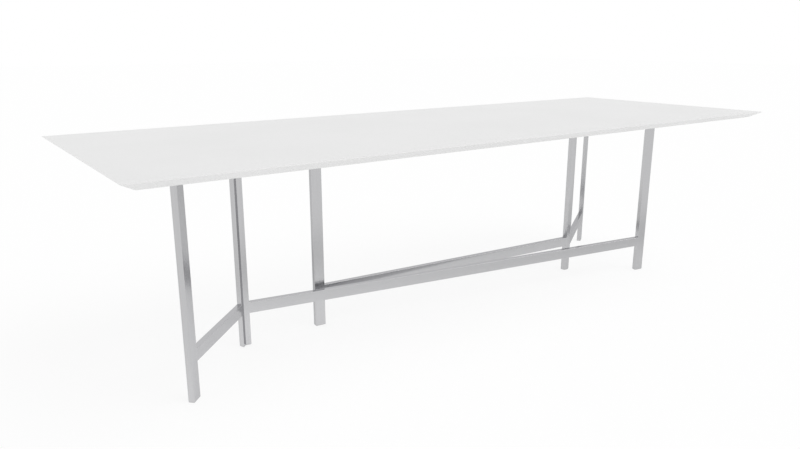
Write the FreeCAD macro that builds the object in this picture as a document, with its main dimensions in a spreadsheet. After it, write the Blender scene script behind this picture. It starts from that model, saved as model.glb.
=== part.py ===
import FreeCAD, Part
import math
import os
from collections import namedtuple

import Sketcher

# A dining table: a white top with an undercut bevel, on two separate frames of flat steel bar.
# Millimetres, +Z up. The origin is on the floor under the middle of the top, +X along it, +Y across it.
# Each frame is bent once in plan, at its knee, where a short arm and a long arm meet.
# The bars of an arm are drawn in the arm's own axes: X from the knee along the arm, Y to its left.
# A knee post is drawn with X along the bisector of its knee, pointing to the knee's inner side.
# Headings turn anticlockwise from +X, and a frame's inner side lies from its short arm round to its long arm.

# Driving sizes: name, value, meaning.
SIZES = (
    ("top_length", 2800.0, "top, along X"),
    ("top_width", 1000.0, "top, along Y"),
    ("table_height", 740.0, "floor to the top's upper face"),
    ("top_thickness", 25.0, "top, upper face to underside"),
    ("bevel_inset", 42.5, "how far the underside stands in from the top's outline"),
    ("edge_lip", 1.0, "upright edge left above the bevel"),
    ("edge_round", 0.4, "rounding of the top's upper edge"),
    ("bar_width", 40.0, "flat bar, in the plane of its arm"),
    ("bar_thickness", 20.0, "flat bar, across its arm"),
    ("bar_round", 0.8, "rounding of the bars' long edges"),
    ("stretcher_bottom", 120.0, "floor to the underside of the stretchers"),
    ("knee_flange", 20.0, "knee post, from the bend to each cut face, along the arm"),
    ("rail_width", 40.0, "flat rail under the top"),
    ("rail_thickness", 6.0, "flat rail under the top"),
    ("rail_corner", 5.0, "rounding of the corners at a rail's free end"),
    ("rail_round", 0.5, "rounding of the rails' lower edges"),
    ("front_knee_x", -901.3, "bend of the front frame's centre line"),
    ("front_knee_y", 71.9, "bend of the front frame's centre line"),
    ("front_short_heading", 225.0, "degrees"),
    ("front_short_length", 418.0, "bend to the arm's far end"),
    ("front_long_heading", 351.0, "degrees"),
    ("front_long_length", 1910.0, "bend to the arm's far end"),
    ("rear_knee_x", 688.5, "bend of the rear frame's centre line"),
    ("rear_knee_y", -27.2, "bend of the rear frame's centre line"),
    ("rear_short_heading", 33.6, "degrees"),
    ("rear_short_length", 548.0, "bend to the arm's far end"),
    ("rear_long_heading", 175.5, "degrees"),
    ("rear_long_length", 1303.0, "bend to the arm's far end"),
    ("glide_thickness", 2.0, "foot glide, under the leg"),
    ("glide_inset", 1.5, "how far a glide stands in from its leg's outline"),
    ("glide_round", 0.5, "rounding of a glide's lower edge"),
    ("peg_diameter", 8.0, "peg that holds a glide in its leg"),
    ("peg_length", 12.0, "peg that holds a glide in its leg"),
    ("peg_clearance", 0.1, "gap all round a peg"),
    ("screw_diameter", 6.0, "screw shank"),
    ("screw_length", 16.0, "screw, under its head"),
    ("screw_clearance", 0.3, "gap round a shank in its rail"),
    ("head_diameter", 10.5, "domed screw head"),
    ("head_height", 3.3, "domed screw head"),
    ("socket_width", 4.0, "hexagon socket, across its flats"),
    ("socket_depth", 2.0, "hexagon socket"),
    ("screw_end_gap", 80.0, "arm's end to the nearest screw"),
    ("screw_pitch", 450.0, "widest spacing of the screws along a rail"),
    ("insert_diameter", 10.0, "threaded insert, outside"),
    ("insert_length", 13.0, "threaded insert"),
    ("fit_clearance", 0.1, "gap round a shank in its insert and round an insert in the top"),
    ("hole_spare", 1.0, "depth left beyond a peg or an insert in its hole"),
)

# An arm: its frame, which of the two it is, the side its frame's inner side lies on (1 is left, -1 is right)
# and the name of the leg at its far end.
Arm = namedtuple("Arm", "frame reach inner leg")
ARMS = (
    Arm("front", "short", 1, "front_left"),
    Arm("front", "long", -1, "front_right"),
    Arm("rear", "short", 1, "rear_right"),
    Arm("rear", "long", -1, "rear_left"),
)
FRAMES = ("front", "rear")

# Heights and half sizes that several pieces share.
UNDERSIDE = "(Sizes.table_height - Sizes.top_thickness)"
RAIL_BOTTOM = f"({UNDERSIDE} - Sizes.rail_thickness)"
LEG_HEIGHT = f"({RAIL_BOTTOM} - Sizes.glide_thickness)"
HALF_BAR = "(Sizes.bar_thickness / 2)"
LAND_DEPTH = "(2 * Sizes.bar_round)"
LAND_BOTTOM = "(Sizes.stretcher_bottom - Sizes.glide_thickness)"
PEG_HOLE_DEPTH = "(Sizes.peg_length + Sizes.hole_spare)"
INSERT_HOLE_DEPTH = "(Sizes.insert_length + Sizes.hole_spare)"
LARGEST_VOLUME_ERROR = 0.01
ON_PLANE = 1e-6

doc = FreeCAD.newDocument("dining_table")
sheet = doc.addObject("Spreadsheet::Sheet", "Sizes")
nodes = []


def fill_sheet():
    """Write the driving sizes into the sheet, each under its own name."""
    for row, (name, value, meaning) in enumerate(SIZES, 1):
        sheet.set(f"A{row}", name)
        sheet.set(f"B{row}", str(value))
        sheet.set(f"C{row}", meaning)
        sheet.setAlias(f"B{row}", name)
    doc.recompute()


def arm_length(arm):
    """The arm's length, from the bend to its far end."""
    return f"Sizes.{arm.frame}_{arm.reach}_length"


def arm_heading(arm):
    """The direction the arm leaves the knee in."""
    return f"Sizes.{arm.frame}_{arm.reach}_heading"


def half_knee(frame):
    """Half the angle between the frame's two arms."""
    return f"((Sizes.{frame}_long_heading - Sizes.{frame}_short_heading) / 2)"


def knee_slant(arm, across):
    """How far a cut along the knee's bisector runs along the arm, at a distance across it."""
    return f"({arm.inner} * {across} / tan({half_knee(arm.frame)}))"


def place(piece, x, y, z, heading="0"):
    """Tie a piece's position and its turn about Z to the sheet."""
    turn = f"rotation(vector(0; 0; 1); {heading})"
    piece.setExpression("Placement", f"placement(vector({x}; {y}; {z}); {turn})")


def place_on_arm(piece, arm, z):
    """Put a piece drawn in the arm's axes at its height."""
    place(piece, f"Sizes.{arm.frame}_knee_x", f"Sizes.{arm.frame}_knee_y", z, arm_heading(arm))


def place_on_knee(piece, frame, z):
    """Put a piece drawn in the knee's axes at its height."""
    bisector = f"(Sizes.{frame}_short_heading + Sizes.{frame}_long_heading) / 2"
    place(piece, f"Sizes.{frame}_knee_x", f"Sizes.{frame}_knee_y", z, bisector)


def add_node(kind, name):
    """Make an object that is written out as a piece of the table."""
    node = doc.addObject(kind, name)
    node.Label = name
    nodes.append(node)
    return node


def add_body(name):
    """Make an empty body for one piece."""
    return add_node("PartDesign::Body", name)


def base_sketch(body, name, level="0"):
    """Start a sketch at a level above the body's own XY plane."""
    sketch = body.newObject("Sketcher::SketchObject", f"{body.Name}_{name}")
    plane = next(item for item in body.Origin.OriginFeatures if item.Role == "XY_Plane")
    sketch.AttachmentSupport = [(plane, "")]
    sketch.MapMode = "FlatFace"
    sketch.setExpression("AttachmentOffset.Base.z", level)
    return sketch


def tie(sketch, constraint, name, expression):
    """Add a named dimension to a sketch and tie it to the sheet."""
    index = sketch.addConstraint(constraint)
    sketch.renameConstraint(index, name)
    sketch.setExpression(f"Constraints.{name}", expression)


def tie_point(sketch, line, end, name, x, y):
    """Tie one point of a sketch to its two distances from the origin."""
    tie(sketch, Sketcher.Constraint("DistanceX", -1, 1, line, end, 1.0), f"{name}_x", x)
    tie(sketch, Sketcher.Constraint("DistanceY", -1, 1, line, end, 1.0), f"{name}_y", y)


def polygon(body, name, corners, level="0"):
    """Draw a closed outline through corners given as pairs of expressions."""
    sketch = base_sketch(body, name, level)
    count = len(corners)
    turns = [2 * math.pi * number / count for number in range(count)]
    rough = [FreeCAD.Vector(math.cos(turn), math.sin(turn), 0) for turn in turns]
    for number in range(count):
        sketch.addGeometry(Part.LineSegment(rough[number], rough[(number + 1) % count]))
    for number, (x, y) in enumerate(corners):
        sketch.addConstraint(Sketcher.Constraint("Coincident", number, 2, (number + 1) % count, 1))
        tie_point(sketch, number, 1, f"corner{number}", x, y)
    return sketch


def circles(body, name, centres, diameter):
    """Draw equal circles at centres given as pairs of expressions."""
    sketch = base_sketch(body, name)
    for number, (x, y) in enumerate(centres):
        sketch.addGeometry(Part.Circle(FreeCAD.Vector(number, 0, 0), FreeCAD.Vector(0, 0, 1), 1.0))
        tie_point(sketch, number, 3, f"centre{number}", x, y)
        tie(sketch, Sketcher.Constraint("Diameter", number, 1.0), f"diameter{number}", diameter)
    return sketch


def extrude(body, sketch, height):
    """Raise a sketch upwards."""
    pad = body.newObject("PartDesign::Pad", f"{sketch.Name}_pad")
    pad.Profile = sketch
    pad.setExpression("Length", height)
    doc.recompute()
    return pad


def drill(body, sketch, depth):
    """Cut circles upwards from the body's lower face, and test that all of them were cut."""
    before = body.Shape.Volume
    pocket = body.newObject("PartDesign::Pocket", f"{sketch.Name}_pocket")
    pocket.Profile = sketch
    pocket.Reversed = True
    pocket.setExpression("Length", depth)
    doc.recompute()
    wanted = sum(math.pi * circle.Radius**2 for circle in sketch.Geometry) * pocket.Length.Value
    if abs(before - body.Shape.Volume - wanted) > LARGEST_VOLUME_ERROR * wanted:
        raise RuntimeError(f"{sketch.Name} wasn't cut")


def edge_names(feature, wanted):
    """Names of a feature's edges that the test picks."""
    return [f"Edge{number}" for number, edge in enumerate(feature.Shape.Edges, 1) if wanted(edge)]


def round_edges(body, wanted, radius):
    """Round the edges that the test picks."""
    base = body.Tip
    fillet = body.newObject("PartDesign::Fillet", f"{body.Name}_round")
    fillet.Base = (base, edge_names(base, wanted))
    fillet.setExpression("Radius", radius)
    doc.recompute()


def runs_along(edge, axis):
    """Whether an edge runs straight along X, Y or Z."""
    length = getattr(edge.BoundBox, f"{axis}Length")
    return length > ON_PLANE and edge.BoundBox.DiagonalLength - length < ON_PLANE


def is_upright(edge):
    """Whether an edge runs along Z."""
    return runs_along(edge, "Z")


def is_lengthways(edge):
    """Whether an edge runs along X."""
    return runs_along(edge, "X")


def is_lowest(edge):
    """Whether an edge lies in the body's own XY plane."""
    return edge.BoundBox.ZMax < ON_PLANE


def end_leg_outline(arm, inset):
    """Corners of the bar at an arm's far end, drawn in by an inset."""
    near = f"({arm_length(arm)} - Sizes.bar_width + {inset})"
    far = f"({arm_length(arm)} - {inset})"
    side = f"({HALF_BAR} - {inset})"
    return [(near, f"-{side}"), (far, f"-{side}"), (far, side), (near, side)]


def knee_outline(frame, inset):
    """Corners of the bent bar at a knee, drawn in by an inset: a chevron cut parallel to the bisector."""
    reach = f"(Sizes.knee_flange * sin({half_knee(frame)}) - {inset})"
    lead = f"({reach} / tan({half_knee(frame)}))"
    depth = f"(({HALF_BAR} - {inset}) / sin({half_knee(frame)}))"
    outer = [(f"{lead} - {depth}", f"-{reach}"), (f"-{depth}", "0"), (f"{lead} - {depth}", reach)]
    inner = [(f"{lead} + {depth}", reach), (depth, "0"), (f"{lead} + {depth}", f"-{reach}")]
    return inner + outer


def end_leg_land(arm):
    """Strip at the inner end of an arm's end leg, where its stretcher is welded on."""
    near = f"({arm_length(arm)} - Sizes.bar_width)"
    deep = f"({near} + {LAND_DEPTH})"
    return [(near, f"-{HALF_BAR}"), (deep, f"-{HALF_BAR}"), (deep, HALF_BAR), (near, HALF_BAR)]


def flange_land(frame, side):
    """Strip at one cut face of a knee's bent bar, on the left (1) or right (-1) of the bisector."""
    depth = f"({HALF_BAR} / sin({half_knee(frame)}))"
    reach = f"(Sizes.knee_flange * sin({half_knee(frame)}))"
    deep = f"({reach} - {LAND_DEPTH})"
    face = [(f"{reach} / tan({half_knee(frame)}) {shift} {depth}", f"{side} * {reach}") for shift in "+-"]
    back = [(f"{deep} / tan({half_knee(frame)}) {shift} {depth}", f"{side} * {deep}") for shift in "-+"]
    return face + back


def raise_leg(body, outline, lands, peg):
    """Build a leg on its outline: edges rounded but square at the welds, a peg hole in its lower end."""
    extrude(body, polygon(body, "section", outline), LEG_HEIGHT)
    round_edges(body, is_upright, "Sizes.bar_round")
    for number, land in enumerate(lands):
        extrude(body, polygon(body, f"weld_land{number}", land, LAND_BOTTOM), "Sizes.bar_width")
    hole = circles(body, "peg_hole", [peg], "Sizes.peg_diameter + 2 * Sizes.peg_clearance")
    drill(body, hole, PEG_HOLE_DEPTH)


def raise_glide(body, outline, peg):
    """Build a glide: a thin pad that follows its leg's outline, and the peg that stands on it."""
    extrude(body, polygon(body, "pad", outline), "Sizes.glide_thickness")
    round_edges(body, is_lowest, "Sizes.glide_round")
    pin = circles(body, "peg", [peg], "Sizes.peg_diameter")
    extrude(body, pin, "Sizes.glide_thickness + Sizes.peg_length")


def build_legs():
    """The straight legs at the arms' far ends and the bent posts at the knees, each on its glide."""
    for arm in ARMS:
        peg = (f"{arm_length(arm)} - Sizes.bar_width / 2", "0")
        leg = add_body(f"{arm.leg}_leg")
        raise_leg(leg, end_leg_outline(arm, "0"), [end_leg_land(arm)], peg)
        place_on_arm(leg, arm, "Sizes.glide_thickness")
        glide = add_body(f"{arm.leg}_glide")
        raise_glide(glide, end_leg_outline(arm, "Sizes.glide_inset"), peg)
        place_on_arm(glide, arm, "0")
    for frame in FRAMES:
        peg = ("0", "0")
        post = add_body(f"{frame}_knee_post")
        raise_leg(post, knee_outline(frame, "0"), [flange_land(frame, side) for side in (1, -1)], peg)
        place_on_knee(post, frame, "Sizes.glide_thickness")
        glide = add_body(f"{frame}_knee_glide")
        raise_glide(glide, knee_outline(frame, "Sizes.glide_inset"), peg)
        place_on_knee(glide, frame, "0")


def build_stretcher(arm):
    """The bar on edge between an arm's knee post and its end leg, cut to meet the post's slanted face."""
    stretcher = add_body(f"{arm.frame}_{arm.reach}_stretcher")
    far = f"({arm_length(arm)} - Sizes.bar_width)"
    near = "Sizes.knee_flange + "
    outline = [
        (near + knee_slant(arm, f"-{HALF_BAR}"), f"-{HALF_BAR}"),
        (far, f"-{HALF_BAR}"),
        (far, HALF_BAR),
        (near + knee_slant(arm, HALF_BAR), HALF_BAR),
    ]
    extrude(stretcher, polygon(stretcher, "section", outline), "Sizes.bar_width")
    round_edges(stretcher, is_lengthways, "Sizes.bar_round")
    place_on_arm(stretcher, arm, "Sizes.stretcher_bottom")


def screw_distances(arm):
    """Distances of an arm's screws from the bend: evenly spread, none wider than the pitch."""
    length = sheet.getPropertyByName(f"{arm.frame}_{arm.reach}_length")
    spaces = math.ceil((length - 2 * sheet.screw_end_gap) / sheet.screw_pitch)
    step = f"({arm_length(arm)} - 2 * Sizes.screw_end_gap) / {spaces}"
    return [f"(Sizes.screw_end_gap + {number} * {step})" for number in range(spaces + 1)]


def screw_places():
    """Places of all screws in the table's own axes."""
    places = []
    for arm in ARMS:
        for distance in screw_distances(arm):
            x = f"Sizes.{arm.frame}_knee_x + {distance} * cos({arm_heading(arm)})"
            y = f"Sizes.{arm.frame}_knee_y + {distance} * sin({arm_heading(arm)})"
            places.append((x, y))
    return places


def build_rail(arm):
    """The flat rail on an arm's leg tops: mitred at the knee, its edges rounded, drilled for screws."""
    rail = add_body(f"{arm.frame}_{arm.reach}_top_rail")
    side = "(Sizes.rail_width / 2)"
    outline = [
        (knee_slant(arm, f"-{side}"), f"-{side}"),
        (arm_length(arm), f"-{side}"),
        (arm_length(arm), side),
        (knee_slant(arm, side), side),
    ]
    extrude(rail, polygon(rail, "outline", outline), "Sizes.rail_thickness")
    free_end = rail.Shape.BoundBox.XMax
    round_edges(
        rail,
        lambda edge: is_upright(edge) and free_end - edge.BoundBox.XMax < ON_PLANE,
        "Sizes.rail_corner",
    )
    round_edges(rail, lambda edge: is_lengthways(edge) and is_lowest(edge), "Sizes.rail_round")
    centres = [(distance, "0") for distance in screw_distances(arm)]
    holes = circles(rail, "screw_holes", centres, "Sizes.screw_diameter + 2 * Sizes.screw_clearance")
    drill(rail, holes, "Sizes.rail_thickness")
    place_on_arm(rail, arm, RAIL_BOTTOM)


def build_top():
    """The top: a panel whose lower edges are cut back in a wide bevel, with blind holes for the inserts."""
    top = add_body("table_top")
    half_length = "Sizes.top_length / 2"
    half_width = "Sizes.top_width / 2"
    outline = [
        (f"-{half_length}", f"-{half_width}"),
        (half_length, f"-{half_width}"),
        (half_length, half_width),
        (f"-{half_length}", half_width),
    ]
    panel = extrude(top, polygon(top, "outline", outline), "Sizes.top_thickness")
    bevel = top.newObject("PartDesign::Chamfer", "table_top_bevel")
    bevel.Base = (panel, edge_names(panel, is_lowest))
    bevel.ChamferType = "Two distances"
    bevel.setExpression("Size", "Sizes.top_thickness - Sizes.edge_lip")
    bevel.setExpression("Size2", "Sizes.bevel_inset")
    doc.recompute()
    underside = min(top.Shape.Faces, key=lambda face: face.CenterOfMass.z)
    if abs(underside.BoundBox.XLength - sheet.top_length + 2 * sheet.bevel_inset) > ON_PLANE:
        raise RuntimeError("the bevel is cut the wrong way round")
    upper = sheet.top_thickness - ON_PLANE
    round_edges(top, lambda edge: edge.BoundBox.ZMin > upper, "Sizes.edge_round")
    holes = circles(top, "insert_holes", screw_places(), "Sizes.insert_diameter + 2 * Sizes.fit_clearance")
    drill(top, holes, INSERT_HOLE_DEPTH)
    place(top, "0", "0", UNDERSIDE)


def cylinder(name, diameter, height, z="0"):
    """A round bar that stands on a height."""
    bar = doc.addObject("Part::Cylinder", name)
    bar.setExpression("Radius", f"({diameter}) / 2")
    bar.setExpression("Height", height)
    bar.setExpression("Placement.Base.z", z)
    return bar


def combine(kind, name, base, tool):
    """Join, cut or intersect two shapes."""
    result = doc.addObject(kind, name)
    result.Base = base
    result.Tool = tool
    return result


def build_screw():
    """One screw, with its head's bearing face at Z 0: a domed head with a hexagon socket, and a shank."""
    dome_radius = "((Sizes.head_diameter / 2)^2 + Sizes.head_height^2) / (2 * Sizes.head_height)"
    blank = cylinder("head_blank", "Sizes.head_diameter", "Sizes.head_height", "-Sizes.head_height")
    dome = doc.addObject("Part::Sphere", "head_dome")
    dome.setExpression("Radius", dome_radius)
    dome.setExpression("Placement.Base.z", f"{dome_radius} - Sizes.head_height")
    head = combine("Part::Common", "head", blank, dome)
    shank = cylinder("shank", "Sizes.screw_diameter", "Sizes.screw_length")
    socket = doc.addObject("Part::Prism", "socket")
    socket.Polygon = 6
    socket.setExpression("Circumradius", "Sizes.socket_width / sqrt(3)")
    socket.setExpression("Height", "Sizes.socket_depth")
    socket.setExpression("Placement.Base.z", "-Sizes.head_height")
    return combine("Part::Cut", "screw", combine("Part::Fuse", "screw_blank", head, shank), socket)


def build_insert():
    """One threaded insert, with its lower face at Z 0: a sleeve round a screw's shank."""
    sleeve = cylinder("sleeve", "Sizes.insert_diameter", "Sizes.insert_length")
    bore = cylinder("sleeve_bore", "Sizes.screw_diameter + 2 * Sizes.fit_clearance", "Sizes.insert_length")
    return combine("Part::Cut", "insert", sleeve, bore)


def repeat(name, piece, places, z):
    """A group of copies of one piece, each a separate solid in its own place."""
    copies = []
    for number, (x, y) in enumerate(places):
        copy = doc.addObject("App::Link", f"{name}_{number}")
        copy.LinkedObject = piece
        place(copy, x, y, z)
        copies.append(copy)
    group = add_node("Part::Compound", name)
    group.Links = copies


def check_model():
    """Stop if any object failed or any piece is empty or broken."""
    for item in doc.Objects:
        if "Invalid" in item.State or "Error" in item.State:
            raise RuntimeError(f"{item.Label} failed: {item.State}")
    for node in nodes:
        if node.Shape.isNull() or not node.Shape.isValid() or not node.Shape.Solids:
            raise RuntimeError(f"{node.Label} has no sound shape")


def write_parts():
    """Write each piece to a file of its own name."""
    os.makedirs("parts", exist_ok=True)
    for node in nodes:
        node.Shape.exportStep(f"parts/{node.Label}.step")
        print(f"{node.Label}: {len(node.Shape.Solids)} solid(s), {node.Shape.Volume / 1000:.1f} cm3")


fill_sheet()
build_legs()
for each_arm in ARMS:
    build_stretcher(each_arm)
    build_rail(each_arm)
build_top()
repeat("rail_screws", build_screw(), screw_places(), RAIL_BOTTOM)
repeat("top_inserts", build_insert(), screw_places(), UNDERSIDE)
doc.recompute()
check_model()
write_parts()
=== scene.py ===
"""Looks of a long dining table: a white top with an undercut bevel on two bent frames of satin steel bar.

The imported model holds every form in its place: +X along the top, +Y across it, +Z up, and the floor at 0.
This script gives each node a procedural finish, lays the weld beads under the rails, and sets the table on
a pale floor in soft light. Lengths are in metres and angles in degrees.
"""
import logging
import math
from dataclasses import dataclass
from enum import Enum
from typing import Any, Mapping, Optional, Sequence, Union

import bpy
import numpy as np
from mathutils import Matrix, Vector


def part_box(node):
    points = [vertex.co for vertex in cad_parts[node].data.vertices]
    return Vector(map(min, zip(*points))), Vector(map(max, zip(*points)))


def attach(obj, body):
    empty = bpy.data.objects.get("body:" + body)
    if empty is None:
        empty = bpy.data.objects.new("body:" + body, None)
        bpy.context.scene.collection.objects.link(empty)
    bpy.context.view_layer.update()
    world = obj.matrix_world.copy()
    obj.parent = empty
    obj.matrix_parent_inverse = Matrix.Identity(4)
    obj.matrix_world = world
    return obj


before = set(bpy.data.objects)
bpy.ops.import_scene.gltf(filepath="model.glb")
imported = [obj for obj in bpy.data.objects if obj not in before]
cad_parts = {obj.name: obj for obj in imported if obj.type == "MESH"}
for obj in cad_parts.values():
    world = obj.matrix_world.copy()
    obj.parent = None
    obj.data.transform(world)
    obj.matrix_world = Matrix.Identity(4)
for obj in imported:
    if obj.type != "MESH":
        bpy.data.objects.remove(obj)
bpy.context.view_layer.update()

LOG = logging.getLogger("dining_table")
BODY = "root"
MIDDLE = 0.5  # middle of a pattern that runs from 0 to 1
WHITE = (1.0, 1.0, 1.0)
MIX_FACTOR, MIX_FIRST, MIX_SECOND, MIX_RESULT = 0, 6, 7, 2  # the Mix node's sockets for colours

Point = tuple[float, float, float]
Place = tuple[float, float]
Colour = tuple[float, float, float]
Range = tuple[float, float]
Input = Union[float, Sequence[float], "Value", bpy.types.NodeSocket]


class Grain(Enum):
    """The way a bar was brushed, as the pull of the brush lines along its own X, Y and Z."""

    LENGTHWISE = (0.004, 1.0, 1.0)
    UPRIGHT = (1.0, 1.0, 0.004)


class Section(Enum):
    """The outline of a bar, seen along Z."""

    FLAT = "one straight bar"
    BENT = "two flanges that meet at a knee"


@dataclass(frozen=True)
class Pattern:
    """A cloudy pattern: its patches to the metre, how many finer layers it has and how strong they are."""

    scale: float
    detail: float = 2.0
    rough: float = 0.5


@dataclass(frozen=True)
class Value:
    """A number that changes over a surface: one socket, with arithmetic that adds Math nodes."""

    graph: "Graph"
    socket: bpy.types.NodeSocket

    def math(self, operation: str, *others: Input) -> "Value":
        """The result of a Math node on this value and the others."""
        sockets = dict(enumerate((self, *others)))
        return self.graph.value("ShaderNodeMath", {"operation": operation}, sockets)

    def reflected(self, operation: str, first: float) -> "Value":
        """The result of a Math node whose first number is plain."""
        return self.graph.value("ShaderNodeMath", {"operation": operation}, {0: first, 1: self})

    def __add__(self, other: Input) -> "Value":
        """The sum."""
        return self.math("ADD", other)

    def __radd__(self, other: float) -> "Value":
        """The sum, with the plain number first."""
        return self.reflected("ADD", other)

    def __sub__(self, other: Input) -> "Value":
        """The difference."""
        return self.math("SUBTRACT", other)

    def __rsub__(self, other: float) -> "Value":
        """The difference, with the plain number first."""
        return self.reflected("SUBTRACT", other)

    def __mul__(self, other: Input) -> "Value":
        """The product."""
        return self.math("MULTIPLY", other)

    def __rmul__(self, other: float) -> "Value":
        """The product, with the plain number first."""
        return self.reflected("MULTIPLY", other)

    def __abs__(self) -> "Value":
        """The size without its sign."""
        return self.math("ABSOLUTE")

    def least(self, other: Input) -> "Value":
        """The smaller of two values."""
        return self.math("MINIMUM", other)

    def most(self, other: Input) -> "Value":
        """The larger of two values."""
        return self.math("MAXIMUM", other)

    def fade(self, start: float, end: float, low: float = 0.0, high: float = 1.0) -> "Value":
        """A smooth step from low at start to high at end.

        Args:
            start: the value at which the step begins.
            end: the value at which it is complete.
            low: the result up to start.
            high: the result from end on.

        Returns:
            The stepped value.
        """
        settings = {"interpolation_type": "SMOOTHSTEP"}
        sockets = {"Value": self, "From Min": start, "From Max": end, "To Min": low, "To Max": high}
        return self.graph.value("ShaderNodeMapRange", settings, sockets)


class Graph:
    """The node tree of a material or of the world."""

    def __init__(self, tree: bpy.types.NodeTree) -> None:
        """Start with an empty tree."""
        self.tree = tree
        tree.nodes.clear()

    def node(
        self,
        kind: str,
        settings: Optional[Mapping[str, Any]] = None,
        sockets: Optional[Mapping[Union[int, str], Input]] = None,
    ) -> bpy.types.Node:
        """Add a node.

        Args:
            kind: the node's type.
            settings: its settings, which are set first.
            sockets: the values or links of its inputs, by number or name.

        Returns:
            The new node.
        """
        made = self.tree.nodes.new(kind)
        for name, setting in (settings or {}).items():
            setattr(made, name, setting)
        for key, given in (sockets or {}).items():
            source = given.socket if isinstance(given, Value) else given
            if isinstance(source, bpy.types.NodeSocket):
                self.tree.links.new(source, made.inputs[key])
            else:
                made.inputs[key].default_value = source
        return made

    def value(
        self,
        kind: str,
        settings: Optional[Mapping[str, Any]] = None,
        sockets: Optional[Mapping[Union[int, str], Input]] = None,
        output: Union[int, str] = 0,
    ) -> Value:
        """Add a node and give one of its outputs as a value.

        Args:
            kind: the node's type.
            settings: its settings.
            sockets: the values or links of its inputs.
            output: the output that is given back.

        Returns:
            The output, ready for arithmetic.
        """
        return Value(self, self.node(kind, settings, sockets).outputs[output])

    def mix(self, factor: Input, first: Input, second: Input) -> bpy.types.NodeSocket:
        """A colour between two others.

        Args:
            factor: 0 for the first, 1 for the second.
            first: a colour or a link to one.
            second: a colour or a link to one.

        Returns:
            The mixed colour's socket.
        """
        sockets = {MIX_FACTOR: factor, MIX_FIRST: opaque(first), MIX_SECOND: opaque(second)}
        return self.node("ShaderNodeMix", {"data_type": "RGBA"}, sockets).outputs[MIX_RESULT]

    def blend(self, factor: Input, first: bpy.types.Node, second: bpy.types.Node) -> bpy.types.Node:
        """A shader between two others.

        Args:
            factor: 0 for the first, 1 for the second.
            first: a shader's node.
            second: a shader's node.

        Returns:
            The Mix Shader's node.
        """
        sockets = {0: factor, 1: first.outputs[0], 2: second.outputs[0]}
        return self.node("ShaderNodeMixShader", None, sockets)

    def noise(self, vector: Input, pattern: Pattern) -> Value:
        """A cloudy value about 0.5.

        Args:
            vector: the coordinates at which the clouds are read.
            pattern: their size and layers.

        Returns:
            The value, from 0 to 1.
        """
        sockets = {
            "Vector": vector,
            "Scale": pattern.scale,
            "Detail": pattern.detail,
            "Roughness": pattern.rough,
        }
        return self.value("ShaderNodeTexNoise", None, sockets, "Fac")

    def bump(self, height: Value, depth: float, strength: float) -> bpy.types.NodeSocket:
        """A surface normal tilted by a relief.

        Args:
            height: the relief, from 0 to 1.
            depth: the relief's depth in metres.
            strength: how much of the tilt shows.

        Returns:
            The normal's socket.
        """
        sockets = {"Strength": strength, "Distance": depth, "Height": height}
        return self.node("ShaderNodeBump", None, sockets).outputs[0]

    def stretched(self, vector: Input, pull: Point) -> bpy.types.NodeSocket:
        """Coordinates scaled by their own factor along each axis."""
        scaled = self.node("ShaderNodeVectorMath", {"operation": "MULTIPLY"}, {0: vector, 1: pull})
        return scaled.outputs[0]

    def split(self, vector: Input) -> tuple[Value, Value, Value]:
        """The three numbers of a vector."""
        parts = self.node("ShaderNodeSeparateXYZ", None, {0: vector})
        return tuple(Value(self, socket) for socket in parts.outputs)


def opaque(colour: Input) -> Input:
    """A plain colour with full alpha; a link is given back as it is."""
    return (*colour, 1.0) if isinstance(colour, tuple) else colour


@dataclass(frozen=True)
class Axes:
    """A piece's own axes: their origin, their turn about Z, and how far the piece reaches along them."""

    origin: Point
    heading: float
    half: Point
    section: Section = Section.FLAT
    half_knee: float = 90.0

    @classmethod
    def along(cls, node: str, heading: float) -> "Axes":
        """Measure a node in axes turned to a heading.

        Args:
            node: the node's name.
            heading: the turn of its X axis about Z, in degrees.

        Returns:
            Axes whose origin is the middle of the node.
        """
        turned = node_points(node) @ turn_matrix(-heading).T
        low, high = turned.min(axis=0), turned.max(axis=0)
        middle = turn_matrix(heading) @ ((low + high) / 2)
        return cls(tuple(middle.tolist()), heading, tuple(((high - low) / 2).tolist()))

    def coordinates(self, graph: Graph) -> bpy.types.NodeSocket:
        """Object coordinates counted in these axes.

        Args:
            graph: the material's nodes.

        Returns:
            The socket of the turned and shifted coordinates.
        """
        sockets = {
            "Vector": graph.node("ShaderNodeTexCoord").outputs["Object"],
            "Location": self.origin,
            "Rotation": (0.0, 0.0, math.radians(self.heading)),
        }
        return graph.node("ShaderNodeMapping", {"vector_type": "TEXTURE"}, sockets).outputs[0]

    def edge_distance(self, graph: Graph, place: Input) -> Value:
        """How far a point of the surface lies from the piece's nearest edge.

        A depth below a pair of faces is the half size less the distance from the middle. On the surface the
        least of the three depths is 0, and the middle one is the way to the nearest edge. A bent bar is
        folded along its bisector, so that both flanges count as one: the distance across a flange is then
        y times the cosine less x times the sine of half the knee's angle.

        Args:
            graph: the material's nodes.
            place: coordinates in these axes.

        Returns:
            The distance in metres.
        """
        x, y, z = graph.split(place)
        across = abs(x)
        if self.section is Section.BENT:
            half = math.radians(self.half_knee)
            across = abs(abs(y) * math.cos(half) - x * math.sin(half))
        half_x, half_y, half_z = self.half
        first, second, third = half_x - across, half_y - abs(y), half_z - abs(z)
        return first.least(second).most(first.most(second).least(third))


def turn_matrix(degrees: float) -> np.ndarray:
    """The matrix of a turn about Z."""
    cosine, sine = math.cos(math.radians(degrees)), math.sin(math.radians(degrees))
    return np.array([[cosine, -sine, 0.0], [sine, cosine, 0.0], [0.0, 0.0, 1.0]])


def node_points(node: str) -> np.ndarray:
    """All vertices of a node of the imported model.

    Args:
        node: the node's name.

    Returns:
        One row of three numbers for each vertex.
    """
    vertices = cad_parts[node].data.vertices
    points = np.empty(len(vertices) * 3)
    vertices.foreach_get("co", points)
    return points.reshape(-1, 3)


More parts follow.
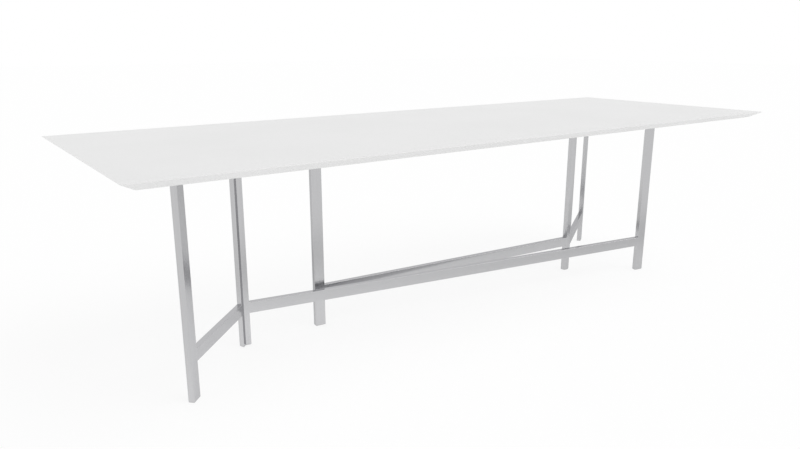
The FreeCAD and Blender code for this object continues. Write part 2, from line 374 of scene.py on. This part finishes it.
def new_material(name: str) -> tuple[bpy.types.Material, Graph]:
    """Start a material.

    Args:
        name: the finish's name.

    Returns:
        The material and its empty node tree.
    """
    material = bpy.data.materials.new(name)
    material.use_nodes = True
    return material, Graph(material.node_tree)


def finished(material: bpy.types.Material, graph: Graph, sockets: Mapping[str, Input]) -> bpy.types.Material:
    """End a material in one Principled shader.

    Args:
        material: the material.
        graph: its nodes.
        sockets: the values or links of the shader's inputs.

    Returns:
        The material, complete.
    """
    shader = graph.node("ShaderNodeBsdfPrincipled", None, sockets)
    graph.node("ShaderNodeOutputMaterial", None, {"Surface": shader.outputs[0]})
    LOG.info("finish %s: %d nodes", material.name, len(graph.tree.nodes))
    return material


@dataclass(frozen=True)
class Lacquer:
    """Sprayed matte white lacquer on board: faint orange peel, slight clouding, edges rubbed smoother."""

    name: str = "white_lacquer"
    colour: Colour = (0.80, 0.80, 0.80)
    clouded: Colour = (0.785, 0.786, 0.785)
    rubbed: Colour = (0.82, 0.82, 0.82)
    edge_reach: float = 0.004
    edge_share: float = 0.3
    clouds: Pattern = Pattern(2.4, 4.0)
    cloud_range: Range = (0.35, 0.7)
    wipes: Pattern = Pattern(1.0, 4.0, 0.6)
    wipe_pull: Point = (3.0, 22.0, 22.0)
    roughness: float = 0.46
    wipe_roughness: float = 0.05
    cloud_roughness: float = 0.04
    edge_polish: float = 0.08
    peel: Pattern = Pattern(420.0, 3.0)
    peel_depth: float = 0.00005
    peel_strength: float = 0.1
    gloss: float = 0.4

    def material(self, axes: Axes) -> bpy.types.Material:
        """Make the finish for a panel.

        Args:
            axes: the panel's own axes.

        Returns:
            The material.
        """
        material, graph = new_material(self.name)
        place = axes.coordinates(graph)
        cloud = graph.noise(place, self.clouds)
        wipe = graph.noise(graph.stretched(place, self.wipe_pull), self.wipes)
        edge = axes.edge_distance(graph, place).fade(0.0, self.edge_reach, 1.0, 0.0)
        colour = graph.mix(cloud.fade(*self.cloud_range), self.colour, self.clouded)
        roughness = self.roughness + self.wipe_roughness * (wipe - MIDDLE)
        roughness = roughness + self.cloud_roughness * (cloud - MIDDLE) - self.edge_polish * edge
        sockets = {
            "Base Color": graph.mix(self.edge_share * edge, colour, self.rubbed),
            "Roughness": roughness,
            "Normal": graph.bump(graph.noise(place, self.peel), self.peel_depth, self.peel_strength),
            "Specular IOR Level": self.gloss,
        }
        return finished(material, graph, sockets)


@dataclass(frozen=True)
class SatinSteel:
    """Brushed steel bar: hairlines along the grain, handling clouds, and edges rubbed bright in places."""

    name: str
    grain: Grain
    dark: Colour = (0.560, 0.560, 0.570)
    light: Colour = (0.604, 0.604, 0.616)
    rubbed: Colour = (0.66, 0.66, 0.67)
    glancing: Colour = (0.60, 0.60, 0.61)
    lines: Pattern = Pattern(2200.0, 4.0, 0.6)
    streaks: Pattern = Pattern(420.0, 2.0)
    hairs: Pattern = Pattern(7000.0, 2.0, 0.7)
    hair_share: float = 0.5
    streak_share: float = 0.35
    tone_range: Range = (0.3, 0.7)
    clouds: Pattern = Pattern(9.0, 4.0, 0.55)
    nicks: Pattern = Pattern(260.0, 3.0, 0.7)
    nick_range: Range = (0.3, 0.62)
    edge_reach: float = 0.0014
    edge_share: float = 0.7
    roughness: float = 0.175
    line_roughness: float = 0.09
    cloud_roughness: float = 0.09
    edge_polish: float = 0.03
    relief_depth: float = 0.00002
    relief_strength: float = 0.1

    def material(self, axes: Axes) -> bpy.types.Material:
        """Make the finish for one bar.

        Args:
            axes: the bar's own axes.

        Returns:
            The material.
        """
        material, graph = new_material(self.name)
        place = axes.coordinates(graph)
        along = graph.stretched(place, self.grain.value)
        lines = graph.noise(along, self.lines)
        streaks = graph.noise(along, self.streaks)
        cloud = graph.noise(place, self.clouds)
        edge = axes.edge_distance(graph, place).fade(0.0, self.edge_reach, 1.0, 0.0)
        rub = edge * graph.noise(place, self.nicks).fade(*self.nick_range)
        tone = self.streak_share * streaks + (1 - self.streak_share) * lines
        colour = graph.mix(tone.fade(*self.tone_range), self.dark, self.light)
        roughness = self.roughness + self.line_roughness * (lines - MIDDLE)
        roughness = roughness + self.cloud_roughness * (cloud - MIDDLE) - self.edge_polish * rub
        relief = (1 - self.hair_share) * lines + self.hair_share * graph.noise(along, self.hairs)
        sockets = {
            "Base Color": graph.mix(self.edge_share * rub, colour, self.rubbed),
            "Metallic": 1.0,
            "Roughness": roughness,
            "Normal": graph.bump(relief, self.relief_depth, self.relief_strength),
            "Specular Tint": opaque(self.glancing),
        }
        return finished(material, graph, sockets)


@dataclass(frozen=True)
class Nylon:
    """Moulded grey nylon: a fine spark-eroded skin, scuffed where it rubs on the floor."""

    name: str = "glide_nylon"
    colour: Colour = (0.46, 0.46, 0.455)
    scuffed: Colour = (0.56, 0.56, 0.55)
    clouds: Pattern = Pattern(60.0, 3.0)
    cloud_share: float = 0.4
    scuffs: Pattern = Pattern(900.0, 4.0, 0.7)
    scuff_range: Range = (0.4, 0.6)
    scuff_height: float = 0.0009
    scuff_share: float = 0.6
    skin: Pattern = Pattern(2400.0, 3.0, 0.6)
    skin_depth: float = 0.00005
    skin_strength: float = 0.3
    roughness: float = 0.52
    skin_roughness: float = 0.12
    scuff_roughness: float = 0.15

    def material(self) -> bpy.types.Material:
        """Make the finish for all glides.

        Returns:
            The material.
        """
        material, graph = new_material(self.name)
        place = graph.node("ShaderNodeTexCoord").outputs["Object"]
        _, _, height = graph.split(place)
        low = height.fade(0.0, self.scuff_height, 1.0, 0.0)
        scuff = low * graph.noise(place, self.scuffs).fade(*self.scuff_range)
        cloud = graph.noise(place, self.clouds)
        skin = graph.noise(place, self.skin)
        worn = self.cloud_share * cloud + self.scuff_share * scuff
        roughness = self.roughness + self.skin_roughness * (skin - MIDDLE)
        sockets = {
            "Base Color": graph.mix(worn, self.colour, self.scuffed),
            "Roughness": roughness + self.scuff_roughness * scuff,
            "Normal": graph.bump(skin, self.skin_depth, self.skin_strength),
        }
        return finished(material, graph, sockets)


@dataclass(frozen=True)
class BareMetal:
    """Small metal parts and welds: a bright skin with a dull bloom, fine rings about Z and specks."""

    name: str
    bright: Colour
    dull: Colour
    roughness: float
    bloom: Pattern = Pattern(240.0, 4.0, 0.6)
    bloom_range: Range = (0.3, 0.7)
    bloom_roughness: float = 0.16
    rings: Pattern = Pattern(6000.0, 2.0, 0.6)
    ring_pull: Point = (0.1, 0.1, 1.0)
    ring_roughness: float = 0.08
    specks: Pattern = Pattern(1500.0, 3.0, 0.7)
    speck_share: float = 0.5
    relief_depth: float = 0.00004
    relief_strength: float = 0.15

    def material(self) -> bpy.types.Material:
        """Make the finish for a group of small parts.

        Returns:
            The material.
        """
        material, graph = new_material(self.name)
        place = graph.node("ShaderNodeTexCoord").outputs["Object"]
        bloom = graph.noise(place, self.bloom)
        rings = graph.noise(graph.stretched(place, self.ring_pull), self.rings)
        relief = rings + self.speck_share * graph.noise(place, self.specks)
        roughness = self.roughness + self.bloom_roughness * (bloom - MIDDLE)
        sockets = {
            "Base Color": graph.mix(bloom.fade(*self.bloom_range), self.bright, self.dull),
            "Metallic": 1.0,
            "Roughness": roughness + self.ring_roughness * (rings - MIDDLE),
            "Normal": graph.bump(relief, self.relief_depth, self.relief_strength),
        }
        return finished(material, graph, sockets)


def dress(node: str, material: bpy.types.Material) -> None:
    """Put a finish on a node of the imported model.

    Args:
        node: the node's name.
        material: its finish.
    """
    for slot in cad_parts[node].material_slots:
        slot.material = material
    LOG.info("node %s: %s", node, material.name)


def spindle_faces(rings: int, columns: int) -> tuple[np.ndarray, np.ndarray]:
    """Faces of a closed form whose points are one pole, rings of points, and the other pole.

    Quads lie between neighbouring rings, and a fan of triangles closes each end. The first pole is point 0.

    Args:
        rings: rings between the poles.
        columns: points round each ring.

    Returns:
        The vertex numbers of the quads and of the triangles, one face to a row.
    """
    column = np.arange(columns)
    after = (column + 1) % columns
    ring_starts = 1 + columns * np.arange(rings)
    near, far = ring_starts[:-1, None], ring_starts[1:, None]
    quads = np.stack((near + column, near + after, far + after, far + column), axis=-1)
    first_ring, last_ring = ring_starts[0], ring_starts[-1]
    first_pole, last_pole = np.zeros_like(column), np.full_like(column, last_ring + columns)
    first_fan = np.stack((first_pole, first_ring + after, first_ring + column), axis=-1)
    last_fan = np.stack((last_pole, last_ring + column, last_ring + after), axis=-1)
    return quads.reshape(-1, 4), np.vstack((first_fan, last_fan))


@dataclass(frozen=True)
class WeldBead:
    """A straight fillet weld in the corner under a rail: a rippled quarter round with blunt ends."""

    start: Point
    end: Point
    outward: Point
    size: float = 0.0038
    pitch: float = 0.0019
    ripple: float = 0.10
    end_power: int = 8
    rings: int = 95
    columns: int = 14

    def points(self) -> np.ndarray:
        """The bead's surface, from its first tip through its rings to its last tip.

        Along the path, with t from -1 to 1, the reach is the full size times a blunt oval, the square root
        of 1 less t to the end power, rippled by scallops, which are a sine without its sign. Round the
        profile, the first point is the corner itself, and the others run on a quarter circle from straight
        out under the rail to straight down the bar: the reach times the cosine outwards, and times the sine
        downwards. The path runs with the bead on its right, so that the faces point out of the metal.

        Returns:
            One row of three numbers for each point.
        """
        start, end, outward = np.array(self.start), np.array(self.end), np.array(self.outward)
        _, _, upward = np.cross(end - start, outward)
        if upward > 0:
            start, end = end, start
        along = np.linspace(-1.0, 1.0, self.rings + 2)[1:-1]
        share = (along + 1) / 2
        path = start + (end - start) * share[:, None]
        length = np.linalg.norm(end - start)
        scallop = np.abs(np.sin(np.pi * share * length / self.pitch))
        oval = np.sqrt(1 - along**self.end_power)
        reach = self.size * oval * (1 + self.ripple * (scallop - MIDDLE))
        angle = np.linspace(0.0, math.pi / 2, self.columns - 1)
        bulge = np.stack((np.cos(angle), np.sin(angle)), axis=-1)
        profile = np.vstack((np.zeros((1, 2)), bulge))
        spread = reach[:, None, None] * profile[None]
        down = np.array((0.0, 0.0, -1.0))
        rings = path[:, None] + spread[..., :1] * outward + spread[..., 1:] * down
        return np.vstack((start, rings.reshape(-1, 3), end))


@dataclass(frozen=True)
class Arm:
    """One straight arm of a bent frame, as drawn: its heading, its length and the leg at its far end.

    Inner is 1 where the other arm lies to the left of the heading, and -1 where it lies to the right.
    """

    reach: str
    heading: float
    length: float
    inner: int
    leg: str

    def along(self) -> np.ndarray:
        """The arm's direction from the knee."""
        return turn_matrix(self.heading)[:, 0]

    def outer(self) -> np.ndarray:
        """The direction away from the knee's inner side."""
        return -self.inner * turn_matrix(self.heading)[:, 1]


@dataclass
class BentFrame:
    """Two arms of flat steel bar that meet at a knee post: stretchers, rails and a leg at each far end."""

    name: str
    knee: Place
    arms: tuple[Arm, Arm]
    bar_width: float = 0.040
    bar_thickness: float = 0.020
    knee_flange: float = 0.020
    bead_gap: float = 0.004
    weld: BareMetal = BareMetal(
        name="weld_steel",
        bright=(0.50, 0.48, 0.45),
        dull=(0.36, 0.35, 0.36),
        roughness=0.34,
    )

    def half_knee(self) -> float:
        """Half the angle between the two arms, in degrees."""
        return abs(self.arms[1].heading - self.arms[0].heading) / 2

    def dress_arm(self, arm: Arm) -> None:
        """Brush an arm's stretcher and rail along the arm, and its leg up and down.

        Args:
            arm: one of the frame's arms.
        """
        grains = {
            f"{self.name}_{arm.reach}_stretcher": Grain.LENGTHWISE,
            f"{self.name}_{arm.reach}_top_rail": Grain.LENGTHWISE,
            arm.leg: Grain.UPRIGHT,
        }
        for node, grain in grains.items():
            steel = SatinSteel(f"satin_{node}", grain)
            dress(node, steel.material(Axes.along(node, arm.heading)))

    def dress_knee(self) -> None:
        """Brush the bent post up and down, with its axes at the bend and their X along the bisector."""
        post = f"{self.name}_knee_post"
        low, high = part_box(post)
        half = math.radians(self.half_knee())
        axes = Axes(
            origin=(*self.knee, (low.z + high.z) / 2),
            heading=(self.arms[0].heading + self.arms[1].heading) / 2,
            half=(self.bar_thickness / 2, self.knee_flange * math.sin(half), (high.z - low.z) / 2),
            section=Section.BENT,
            half_knee=self.half_knee(),
        )
        dress(post, SatinSteel(f"satin_{post}", Grain.UPRIGHT).material(axes))

    def beads(self) -> list[WeldBead]:
        """Beads along both broad faces of each end leg and along the outer faces of the knee post.

        The post's outer faces start at the sharp outer corner of the bend. That lies beside the knee's own
        point by half the bar's thickness, and behind it by that over the tangent of half the knee's angle.

        Returns:
            The frame's beads, each with its path in the corner between a bar and the rail above it.
        """
        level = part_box(f"{self.name}_long_top_rail")[0].z
        knee = np.array((*self.knee, level))
        behind = self.bar_thickness / 2 / math.tan(math.radians(self.half_knee()))
        made = []
        for arm in self.arms:
            along, outer = arm.along(), arm.outer()
            near = arm.length - self.bar_width + self.bead_gap
            far = arm.length - self.bead_gap
            for side in (outer, -outer):
                face = knee + side * self.bar_thickness / 2
                made.append(WeldBead(tuple(face + along * near), tuple(face + along * far), tuple(side)))
            corner = knee + outer * self.bar_thickness / 2 - along * behind
            near = corner + along * self.bead_gap
            far = corner + along * (self.knee_flange - self.bead_gap)
            made.append(WeldBead(tuple(near), tuple(far), tuple(outer)))
        return made

    def lay_welds(self) -> None:
        """Build all beads of the frame as one piece that rides on the table."""
        beads = self.beads()
        surfaces = [bead.points() for bead in beads]
        quads, fans = spindle_faces(beads[0].rings, beads[0].columns)
        first = len(surfaces[0]) * np.arange(len(beads))[:, None, None]
        faces = (quads + first).reshape(-1, 4).tolist() + (fans + first).reshape(-1, 3).tolist()
        mesh = bpy.data.meshes.new(f"{self.name}_rail_welds")
        mesh.from_pydata(np.concatenate(surfaces), [], faces)
        mesh.polygons.foreach_set("use_smooth", np.ones(len(mesh.polygons), dtype=bool))
        mesh.materials.append(self.weld.material())
        piece = bpy.data.objects.new(mesh.name, mesh)
        bpy.context.scene.collection.objects.link(piece)
        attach(piece, BODY)
        LOG.info("piece %s: %d beads, %d faces", piece.name, len(beads), len(mesh.polygons))

    def build(self) -> None:
        """Dress the frame's bars and lay its welds."""
        for arm in self.arms:
            self.dress_arm(arm)
        self.dress_knee()
        self.lay_welds()


@dataclass
class TableTop:
    """The white panel with its undercut bevel."""

    node: str = "table_top"
    finish: Lacquer = Lacquer()

    def build(self) -> None:
        """Lacquer the panel."""
        dress(self.node, self.finish.material(Axes.along(self.node, 0.0)))


@dataclass
class SmallParts:
    """The glides under the legs, and the screws and inserts that hold the rails to the top."""

    glides: Nylon = Nylon()
    screws: BareMetal = BareMetal(
        name="screw_zinc",
        bright=(0.60, 0.61, 0.63),
        dull=(0.46, 0.47, 0.49),
        roughness=0.30,
    )
    inserts: BareMetal = BareMetal(
        name="insert_brass",
        bright=(0.72, 0.55, 0.28),
        dull=(0.55, 0.41, 0.20),
        roughness=0.34,
    )
    glide_ending: str = "_glide"

    def build(self) -> None:
        """Dress every small part."""
        nylon = self.glides.material()
        for node in sorted(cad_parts):
            if node.endswith(self.glide_ending):
                dress(node, nylon)
        dress("rail_screws", self.screws.material())
        dress("top_inserts", self.inserts.material())


@dataclass
class Studio:
    """A pale floor, an even white room, one soft lamp at the front right and the photograph's camera.

    The shares are how much of the floor is plain white to scattered light and to the eye, and painted
    light and shade to the steel. The rest of it is lit and shaded as the table stands there.
    """

    floor_half: float = 30.0
    floor_colour: Colour = (0.98, 0.98, 0.98)
    glow_share: float = 0.75
    white_share: float = 0.84
    mirrored_room: float = 0.97
    mirrored_floor: float = 0.85
    painted_tone_share: float = 0.71
    pool_gain: float = 0.28
    pool_ends: Range = (-1.3, 1.2)
    pool_sides: Range = (0.1, 0.47)
    shade_depth: float = 0.225
    shade_middle: Place = (0.85, 0.85)
    shade_ends: Range = (1.65, 2.35)
    shade_sides: Range = (0.05, 0.51)
    room_light: float = 0.74
    lamp_strength: float = 1.0
    lamp_turn: Point = (39.0, 0.0, 48.0)
    lamp_softness: float = 56.0
    camera_place: Point = (-1.7791, -2.1098, 1.0575)
    camera_turn: Point = (75.005, 0.0, -35.673)
    camera_lens: float = 31.12
    sensor_width: float = 36.0

    @staticmethod
    def rays(graph: Graph) -> tuple[Value, Value]:
        """Tell how a ray comes to see the floor or the room.

        Args:
            graph: the nodes of the floor's material or of the world.

        Returns:
            1 for a ray straight from the eye or through something clear, and 1 for a ray off a gloss.
        """
        light_path = graph.node("ShaderNodeLightPath")
        names = ("Is Camera Ray", "Is Transmission Ray", "Is Glossy Ray")
        camera, clear, glossy = (Value(graph, light_path.outputs[name]) for name in names)
        return camera.most(clear), glossy

    def painted_floor_light(self, graph: Graph) -> Value:
        """Painted light on the floor, which the steel mirrors: a pool under the table, with shade beside it.

        The pool fades along X to the right and on both sides in Y. The shade is a strip along the front and
        one along the back, a given distance from the middle, which fade at their ends and sides.

        Args:
            graph: the floor material's nodes.

        Returns:
            The tone at a point of the floor.
        """
        x, y, _ = graph.split(graph.node("ShaderNodeTexCoord").outputs["Object"])
        # Painted pool of light: brightest under the table's left part, fading to the right and to both
        # sides.
        pool = x.fade(*self.pool_ends, 1.0, 0.0) * abs(y).fade(*self.pool_sides, 1.0, 0.0)
        # Painted shade: strips along the front and the back, where a shadow of the table would fall.
        middle_x, middle_y = self.shade_middle
        along = abs(x - middle_x).fade(*self.shade_ends, 1.0, 0.0)
        across = abs(abs(y) - middle_y).fade(*self.shade_sides, 1.0, 0.0)
        return self.mirrored_floor + self.pool_gain * pool - self.shade_depth * (along * across)

    def lay_floor(self) -> None:
        """A wide plane at the glides' lower faces, white to the eye but still shaded by the table.

        Reflections see it in painted light and shade and partly in the table's real shade, and a view from
        below looks through it to the room.
        """
        edge = self.floor_half
        corners = [(-edge, -edge, 0.0), (edge, -edge, 0.0), (edge, edge, 0.0), (-edge, edge, 0.0)]
        mesh = bpy.data.meshes.new("floor")
        mesh.from_pydata(corners, [], [(0, 1, 2, 3)])
        material, graph = new_material("pale_floor")
        matte = graph.node("ShaderNodeBsdfDiffuse", None, {"Color": opaque(self.floor_colour)})
        white = graph.node("ShaderNodeEmission", None, {"Strength": 1.0})
        # Emission that paints the pool of light and the strips of shade on the floor, which only the steel
        # mirrors.
        tone = graph.node("ShaderNodeEmission", None, {"Color": self.painted_floor_light(graph)})
        through = graph.node("ShaderNodeBsdfTransparent")
        straight, glossy = self.rays(graph)
        share = straight.fade(0.0, 1.0, self.glow_share, self.white_share)
        below = graph.value("ShaderNodeNewGeometry", output="Backfacing")
        seen = graph.blend(share, matte, white)
        # The steel mirrors the painted light and shade, mixed with the floor as it is really lit and shaded.
        mirrored = graph.blend(self.painted_tone_share, matte, tone)
        surface = graph.blend(below, graph.blend(glossy, seen, mirrored), through)
        graph.node("ShaderNodeOutputMaterial", None, {"Surface": surface.outputs[0]})
        mesh.materials.append(material)
        floor = bpy.data.objects.new("floor", mesh)
        bpy.context.scene.collection.objects.link(floor)

    def light_room(self) -> None:
        """An even room light, which shows as plain white, and one soft lamp."""
        world = bpy.data.worlds.new("white_room")
        world.use_nodes = True
        graph = Graph(world.node_tree)
        straight, glossy = self.rays(graph)
        strength = straight + self.mirrored_room * glossy + self.room_light * (1 - straight - glossy)
        sockets = {"Color": opaque(WHITE), "Strength": strength}
        background = graph.node("ShaderNodeBackground", None, sockets)
        graph.node("ShaderNodeOutputWorld", None, {"Surface": background.outputs[0]})
        bpy.context.scene.world = world
        data = bpy.data.lights.new("soft_lamp", "SUN")
        data.energy = self.lamp_strength
        data.angle = math.radians(self.lamp_softness)
        lamp = bpy.data.objects.new("soft_lamp", data)
        lamp.rotation_euler = [math.radians(turn) for turn in self.lamp_turn]
        bpy.context.scene.collection.objects.link(lamp)

    def set_camera(self) -> None:
        """The camera that the photograph was taken with."""
        data = bpy.data.cameras.new("photo_camera")
        data.sensor_width = self.sensor_width
        data.lens = self.camera_lens
        camera = bpy.data.objects.new("photo_camera", data)
        camera.location = self.camera_place
        camera.rotation_euler = [math.radians(turn) for turn in self.camera_turn]
        bpy.context.scene.collection.objects.link(camera)
        bpy.context.scene.camera = camera

    def build(self) -> None:
        """Set up the floor, the light and the camera."""
        bpy.context.scene.view_settings.view_transform = "Standard"
        self.lay_floor()
        self.light_room()
        self.set_camera()


FRONT_FRAME = BentFrame(
    name="front",
    knee=(-0.9013, 0.0719),
    arms=(
        Arm(reach="short", heading=225.0, length=0.418, inner=1, leg="front_left_leg"),
        Arm(reach="long", heading=351.0, length=1.910, inner=-1, leg="front_right_leg"),
    ),
)
REAR_FRAME = BentFrame(
    name="rear",
    knee=(0.6885, -0.0272),
    arms=(
        Arm(reach="short", heading=33.6, length=0.548, inner=1, leg="rear_right_leg"),
        Arm(reach="long", heading=175.5, length=1.303, inner=-1, leg="rear_left_leg"),
    ),
)


def main() -> None:
    """Build the studio, then the table's sub-assemblies, in order."""
    logging.basicConfig(level=logging.INFO, format="%(name)s: %(message)s")
    for assembly in (Studio(), TableTop(), FRONT_FRAME, REAR_FRAME, SmallParts()):
        assembly.build()


if __name__ == "__main__":
    main()
